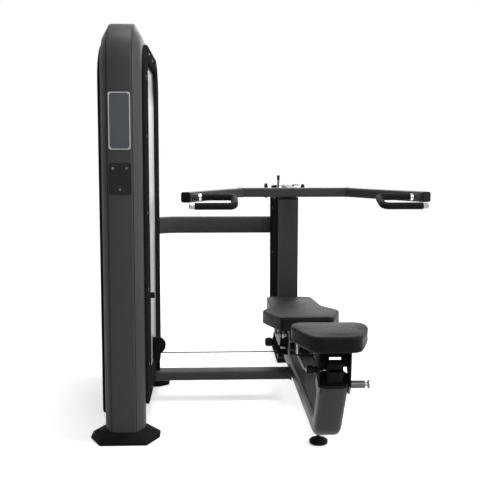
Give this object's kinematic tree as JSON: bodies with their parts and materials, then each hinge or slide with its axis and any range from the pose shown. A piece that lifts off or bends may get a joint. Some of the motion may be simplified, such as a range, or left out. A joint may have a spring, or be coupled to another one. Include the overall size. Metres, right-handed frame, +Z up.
{
  "type": "multi-press strength machine",
  "caption": "Selectorised press machine: shrouded weight tower, adjustable bench on a low beam, rear column and a pivoting press arm with U-shaped handles.",
  "frame": {"origin": "centre of the near tower foot's sole, on the floor", "axes": "+X from the weight tower towards the bench, +Y from the seat end towards the press arm's column, +Z up"},
  "size_m": [1.5202, 2.1675, 1.72],
  "materials": {
    "frame": "dark charcoal powder coat with a fine metallic sparkle, satin",
    "shroud": "black moulded plastic, satin",
    "panel": "pale translucent plastic sheet, satin",
    "plate": "dark slate painted sheet, bare",
    "cast": "black painted casting, satin",
    "weight": "grey painted iron, satin",
    "steel": "bright chrome plate",
    "zinc": "grey zinc plated sheet, satin",
    "rubber": "black rubber, matt",
    "plastic": "black moulded plastic, satin",
    "pad": "dark grey vinyl-coated upholstery fabric over foam and board",
    "cable": "black nylon coat over steel strand"
  },
  "bodies": {
    "frame": {"tower_frame": "frame", "tower_base": "frame", "near_foot": "cast", "far_foot": "cast", "bench_side_shroud": "shroud", "outer_shroud": "shroud", "window_panel": "panel", "notice_plate": "plate", "accessory_plate": "plastic", "guide_rod_near": "steel", "guide_rod_far": "steel", "stack_bumper_near": "rubber", "stack_bumper_far": "rubber", "weight_plates_3": "weight", "weight_plates_4": "weight", "weight_plates_5": "weight", "weight_plates_6": "weight", "pulley_hanger": "zinc", "drive_cable": "cable", "lower_rail": "frame", "bench_beam": "frame", "leg_cap": "plastic", "bench_web": "frame", "bench_foot": "rubber", "back_bracket": "zinc", "column_post": "frame", "column_spine": "frame", "column_foot": "cast", "column_cover_left": "shroud", "column_cover_right": "shroud", "upper_brace": "frame", "pivot_housing": "cast"},
    "lifted_stack": {"weight_plates_1": "weight", "weight_plates_2": "weight", "head_plate": "weight", "selector_stem": "steel", "stack_cable": "cable"},
    "selector": {"selector_pin": "plastic"},
    "top_wheel": {"top_pulley": "plastic"},
    "lower_wheel": {"lower_pulley": "plastic"},
    "bench_wheel": {"bench_pulley": "plastic"},
    "column_wheel": {"column_pulley": "plastic"},
    "drive": {"pivot_shaft": "steel", "drive_cam": "cast"},
    "arm": {"press_yoke": "frame", "press_stem": "frame", "handle_left": "steel", "handle_right": "steel", "grip_left": "rubber", "grip_right": "rubber", "arm_end_cap_left": "plastic", "arm_end_cap_right": "plastic"},
    "lever": {"start_lever": "zinc"},
    "back_rest": {"back_pad": "pad", "back_frame": "zinc"},
    "back_pin": {"back_pin_knob": "plastic"},
    "seat": {"seat_pad": "pad", "seat_carriage": "cast"},
    "seat_pin": {"seat_pin_knob": "steel"}
  },
  "joints": [
    {"name": "press_stroke", "type": "hinge", "parent": "frame", "child": "drive", "pos_m": [0.801, 1.45, 0.98], "axis": [-1, 0, 0], "range_deg": [0, 60]},
    {"name": "start_position", "type": "hinge", "parent": "drive", "child": "arm", "pos_m": [0.801, 1.45, 0.98], "axis": [-1, 0, 0], "range_deg": [0, 35]},
    {"name": "lever_release", "type": "hinge", "parent": "arm", "child": "lever", "pos_m": [0.801, 1.3, 0.998], "axis": [1, 0, 0], "range_deg": [0, 20], "stiffness_Nm_per_rad": 0.5},
    {"name": "stack_lift", "type": "slide", "parent": "frame", "child": "lifted_stack", "axis": [0, 0, 1], "range_m": [0, 0.152], "deforming": ["stack_cable"]},
    {"name": "selector_pull", "type": "slide", "parent": "lifted_stack", "child": "selector", "axis": [1, 0, 0], "range_m": [0, 0.075]},
    {"name": "top_pulley_spin", "type": "hinge", "parent": "frame", "child": "top_wheel", "pos_m": [0.0315, 0.479, 1.465], "axis": [-0.8838, 0.4679, 0], "range_deg": [0, 130]},
    {"name": "lower_pulley_spin", "type": "hinge", "parent": "frame", "child": "lower_wheel", "pos_m": [0.0998, 0.5385, 0.2678], "axis": [0, -1, 0], "range_deg": [0, 235]},
    {"name": "bench_pulley_spin", "type": "hinge", "parent": "frame", "child": "bench_wheel", "pos_m": [0.7052, 0.5663, 0.231], "axis": [0, 0, 1], "range_deg": [0, 310]},
    {"name": "column_pulley_spin", "type": "hinge", "parent": "frame", "child": "column_wheel", "pos_m": [0.733, 1.2704, 0.2678], "axis": [1, 0, 0], "range_deg": [0, 235]},
    {"name": "back_recline", "type": "hinge", "parent": "frame", "child": "back_rest", "pos_m": [0.801, 0.39, 0.335], "axis": [1, 0, 0], "range_deg": [0, 70]},
    {"name": "back_pin_pull", "type": "slide", "parent": "frame", "child": "back_pin", "axis": [-1, 0, 0], "range_m": [0, 0.012], "stiffness_N_per_m": 400},
    {"name": "seat_height", "type": "slide", "parent": "frame", "child": "seat", "axis": [0, -0.5592, 0.829], "range_m": [0, 0.09]},
    {"name": "seat_pin_pull", "type": "slide", "parent": "frame", "child": "seat_pin", "axis": [1, 0, 0], "range_m": [0, 0.012], "stiffness_N_per_m": 400}
  ],
  "couplings": [
    {"joint": "stack_lift", "follows": "press_stroke", "m_per_rad": 0.1428},
    {"joint": "top_pulley_spin", "follows": "press_stroke", "ratio": 2.1211},
    {"joint": "lower_pulley_spin", "follows": "press_stroke", "ratio": 3.8804},
    {"joint": "bench_pulley_spin", "follows": "press_stroke", "ratio": 5.1367},
    {"joint": "column_pulley_spin", "follows": "press_stroke", "ratio": 3.8804}
  ]
}
